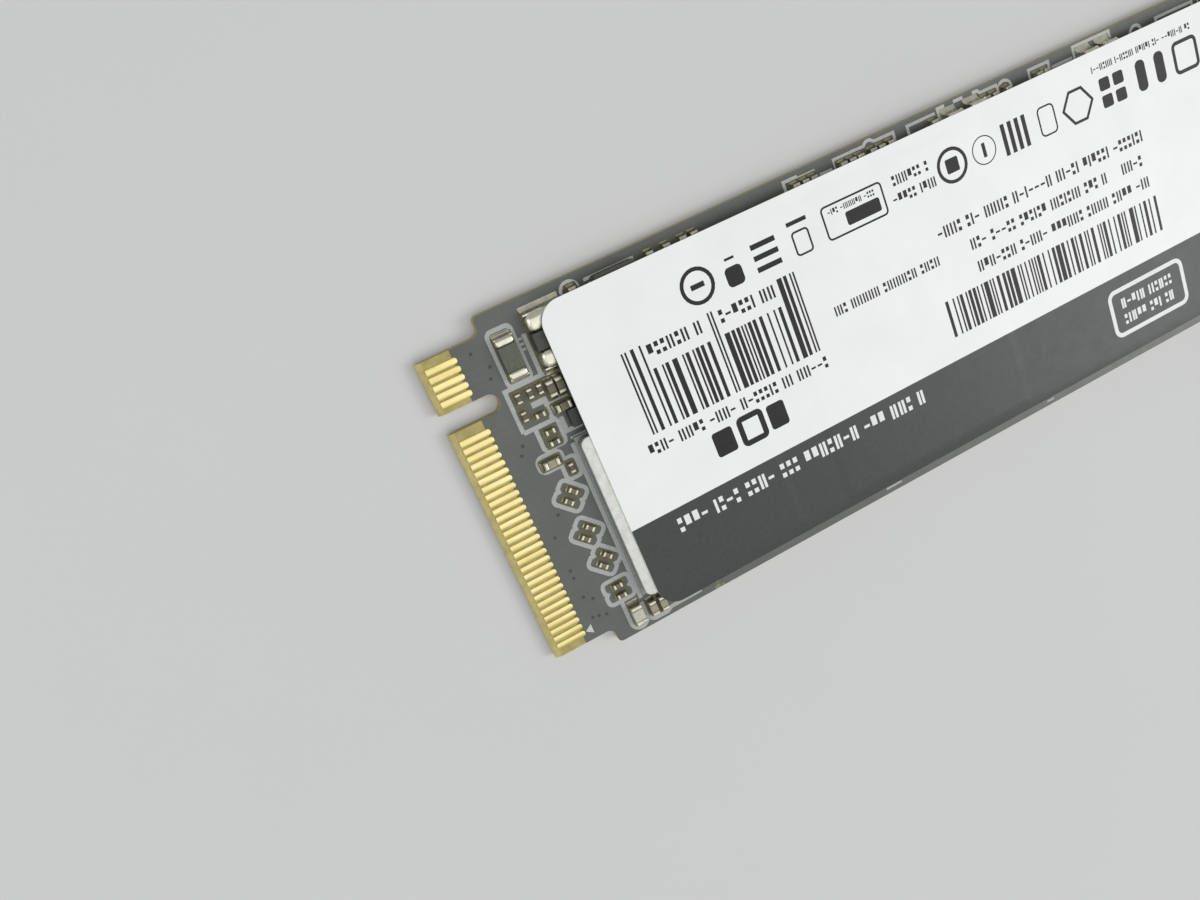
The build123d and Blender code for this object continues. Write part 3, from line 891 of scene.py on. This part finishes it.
def mark_row(layer, x0, x1, y0, height, stroke=mark_stroke):
    """A row of plain marks in the place of a line of text. Their stroke is a share of the row's height."""
    y1 = y0 + height
    pen = height * stroke
    widths = {"post": stroke, **mark_widths}
    x = x0
    left_in_group = print_random.randint(*marks_in_group)
    while True:
        kind = print_random.choice(mark_kinds)
        end = x + widths[kind] * height
        if end > x1:
            return
        if kind == "post":
            layer.bar(x, end, y0, y1)
        elif kind == "pair":
            layer.bar(x, x + pen, y0, y1)
            layer.bar(end - pen, end, y0, y1)
        elif kind == "pips":
            layer.bar(x, end, y0, y0 + lower_pip_top * height)
            layer.bar(x, end, y0 + upper_pip_foot * height, y1)
        elif kind == "dash":
            level = y0 + dash_level * height
            layer.bar(x, end, level - pen / 2, level + pen / 2)
        else:
            layer.bar(x, end, y0 + block_foot * height, y1)
        x = end + mark_gap * height
        left_in_group -= 1
        if left_in_group == 0:
            x += group_gap * height
            left_in_group = print_random.randint(*marks_in_group)


# Groups of bars: tall ones at the ends of the first code, lower ones between them, and then the second code
code_foot = 0.5
code_top = 5.7
code_low_top = 4.1
code_marks = (-29.2, -23.4, -17.6)
code_groups = (
    (-28.6, -27.9, code_foot, code_top),
    (-27.7, -23.6, code_foot, code_low_top),
    (-22.8, -18.7, code_foot, code_low_top),
    (-18.5, -17.8, code_foot, code_top),
    (-8.0, 9.8, -2.85, -0.4),
)

# Rows of marks: start, end, foot and height, and the stroke of the light ones
dark_rows = (
    (-29.8, -16.9, -0.68, 0.72),
    (-27.6, -23.9, 4.75, 0.8),
    (-22.7, -18.8, 4.75, 0.8),
    (-15.5, -7.4, 1.95, 0.62),
    (-7.1, 9.8, 3.4, 0.75),
    (-5.0, 6.3, 1.88, 0.72),
    (7.6, 9.8, 1.88, 0.72),
    (-4.9, 9.9, 0.35, 0.72),
    (-9.1, -6.2, 7.75, 0.62),
    (-9.4, -6.1, 6.65, 0.62),
    (7.0, 15.6, 8.85, 0.42),
    (-13.9, -10.3, 7.8, 0.36),
)
light_rows = (
    (-29.9, -11.3, -5.88, 0.92, 0.2),
    (5.1, 9.8, -6.65, 0.7, 0.22),
    (5.1, 9.8, -7.8, 0.7, 0.22),
)

# Plain shapes: start, end, foot and top, with a corner radius on blocks and a line width on outlines too
bold_foot, bold_top = -2.75, -1.15
icon_foot, icon_top = 6.4, 8.4
icon_middle = (icon_foot + icon_top) / 2
dark_outlines = (
    (-23.95, -22.45, bold_foot, bold_top, 0.2, 0.36),
    (-24.3, -22.3, icon_foot, icon_top, 0.99, 0.24),
    (-16.6, -15.5, icon_foot, 7.8, 0.2, 0.12),
    (-14.3, -9.95, icon_foot, icon_top, 0.25, 0.12),
    (-5.75, -3.7, icon_foot, icon_top, 0.99, 0.22),
    (-3.1, -1.35, 6.53, 8.27, 0.86, 0.07),
    (2.25, 3.5, 6.5, 8.3, 0.3, 0.11),
    (13.7, 15.6, 6.45, 8.35, 0.3, 0.24),
)
dark_blocks = (
    (-25.9, -24.5, bold_foot, bold_top, 0.2),
    (-22.0, -20.75, bold_foot, bold_top, 0.2),
    (-21.45, -20.3, icon_foot, 7.6, 0.3),
    (-12.8, -10.3, 6.75, 7.6, 0.15),
    (-5.2, -4.25, 6.95, 7.85, 0.1),
    *[(x, x + 0.85, y, y + 0.8, 0.15) for x in (7.35, 8.5) for y in (6.45, 7.55)],
    *[(x, x + 0.8, icon_foot, icon_top, 0.35) for x in (10.4, 12.0)],
)
dark_bars = (
    (-23.75, -22.85, 7.24, 7.56),
    (-21.2, -20.55, 8.0, 8.15),
    *[(-19.4, -17.7, y, y + 0.32) for y in (6.5, 7.2, 7.9)],
    (-16.75, -15.35, 8.25, 8.5),
    (-2.35, -2.1, 6.95, 7.85),
    *[(x, x + 0.3, icon_foot, icon_top) for x in (-0.7, -0.15, 0.4, 0.95)],
)
hexagon = (
    (4.2, icon_middle), (4.9, icon_top), (5.9, icon_top),
    (6.6, icon_middle), (5.9, icon_foot), (4.9, icon_foot),
)
hexagon_line = 0.18
light_outline = (4.2, 10.6, -8.4, -5.3, 0.5, 0.3)

dark_print = Layer(label_top, label_print_height)
for x in code_marks:
    bar_pair(dark_print, x, code_foot, code_top)
for group in code_groups:
    bar_group(dark_print, *group)
for row in dark_rows:
    mark_row(dark_print, *row)
for shape in dark_outlines:
    dark_print.outline(*shape)
for shape in dark_blocks:
    dark_print.patch(rounded_box(*shape))
for shape in dark_bars:
    dark_print.bar(*shape)
dark_print.line(hexagon, hexagon_line, closed=True)
dark_print.finish("label_dark_print", dark_ink, "label_paper")

light_print = Layer(label_top, label_print_height)
for row in light_rows:
    mark_row(light_print, *row)
light_print.outline(*light_outline)
light_print.finish("label_light_print", white_ink, "label_paper")


# Openings in the lacquer round each chip part, where its pads lie bare

chip_kinds = sorted(name.removesuffix("_caps") for name in frame["nodes"] if name.endswith("_caps"))
windows = Layer(mask_top, window_height, line_rise)
for kind in chip_kinds:
    for part in chip_parts(kind):
        margin = narrow_window_margin if part.width < narrow_part else window_margin
        reach, side = part.length / 2 + window_reach, part.width / 2 + margin
        windows.patch(part.placed(rounded_box(-reach, reach, -side, side, window_radius)))
windows.finish("pad_windows", bare_pads, "solder_mask")


# Copper under the lacquer: fine traces from the contacts, and filled vias

via_places = (
    (-36.95, -2.85), (-36.2, -1.65), (-36.95, -5.2), (-36.95, -5.72), (-36.4, -7.5), (-36.9, -7.12),
    (-36.5, -8.7), (-36.9, -8.62), (-36.02, -8.85), (-36.45, 7.45), (-36.2, 8.1), (-36.7, 2.6),
    (-36.4, 3.1), (-36.9, 9.2),
)
for face, mask_level, outward in (("top", mask_top, 0), ("bottom", mask_bottom, -1)):
    traces = Layer(mask_level + outward * trace_height, trace_height)
    for group in ("long", "short"):
        for finger in islands(f"contacts_{face}_{group}"):
            start = contacts_end + trace_gap
            y = middle(finger).y
            traces.line([(start, y), (start + trace_length, y)], trace_width)
    traces.finish(f"covered_traces_{face}", covered_copper, "solder_mask")

    vias = Layer(mask_level + outward * via_height, via_height)
    for x, y in via_places:
        vias.patch(circle(x, y, via_radius, via_sides))
    vias.finish(f"filled_vias_{face}", via_fill, "solder_mask")


# Rough spot on the lower long edge, where the board was broken out of its panel

scuff_outlines = (
    [(-29.02, -10.99), (-28.58, -10.99), (-28.5, -10.82), (-28.68, -10.7), (-28.9, -10.78)],
    [(-28.5, -10.99), (-28.3, -10.99), (-28.24, -10.86), (-28.4, -10.84)],
    [(-28.78, -10.62), (-28.6, -10.6), (-28.56, -10.5), (-28.7, -10.48)],
)
scuff = Layer(mask_top, window_height)
for outline in scuff_outlines:
    scuff.patch(outline)
scuff.finish("panel_scuff", bare_fibre, "laminate")


# Stage: floor, lights and camera

def soft_lamp(name, place, aim, size, watts):
    """A square soft light that faces a point."""
    data = bpy.data.lights.new(name, "AREA")
    data.shape = "SQUARE"
    data.size = size * MM
    data.energy = watts
    lamp = bpy.data.objects.new(name, data)
    lamp.location = Vector(place) * MM
    lamp.rotation_euler = (Vector(aim) - Vector(place)).to_track_quat("-Z", "Y").to_euler()
    bpy.context.scene.collection.objects.link(lamp)


floor_mesh = bmesh.new()
bmesh.ops.create_grid(floor_mesh, x_segments=1, y_segments=1, size=floor_size / 2 * MM)
floor_data = bpy.data.meshes.new("floor")
floor_mesh.to_mesh(floor_data)
floor_mesh.free()
floor_data.materials.append(floor_finish())
floor = bpy.data.objects.new("floor", floor_data)
floor.location.z = -floor_gap * MM
bpy.context.scene.collection.objects.link(floor)

for lamp in lamps:
    soft_lamp(*lamp)
bpy.context.scene.world = studio_world()

camera_data = bpy.data.cameras.new("camera")
camera_data.sensor_fit = "HORIZONTAL"
camera_data.sensor_width = sensor_width
camera_data.lens = lens_length
camera_data.clip_start = near_clip * MM
camera = bpy.data.objects.new("camera", camera_data)
camera.location = Vector(camera_place) * MM
camera.rotation_euler = Euler([math.radians(angle) for angle in camera_turn], "XYZ")
bpy.context.scene.collection.objects.link(camera)
bpy.context.scene.camera = camera
bpy.context.scene.view_settings.view_transform = "Standard"
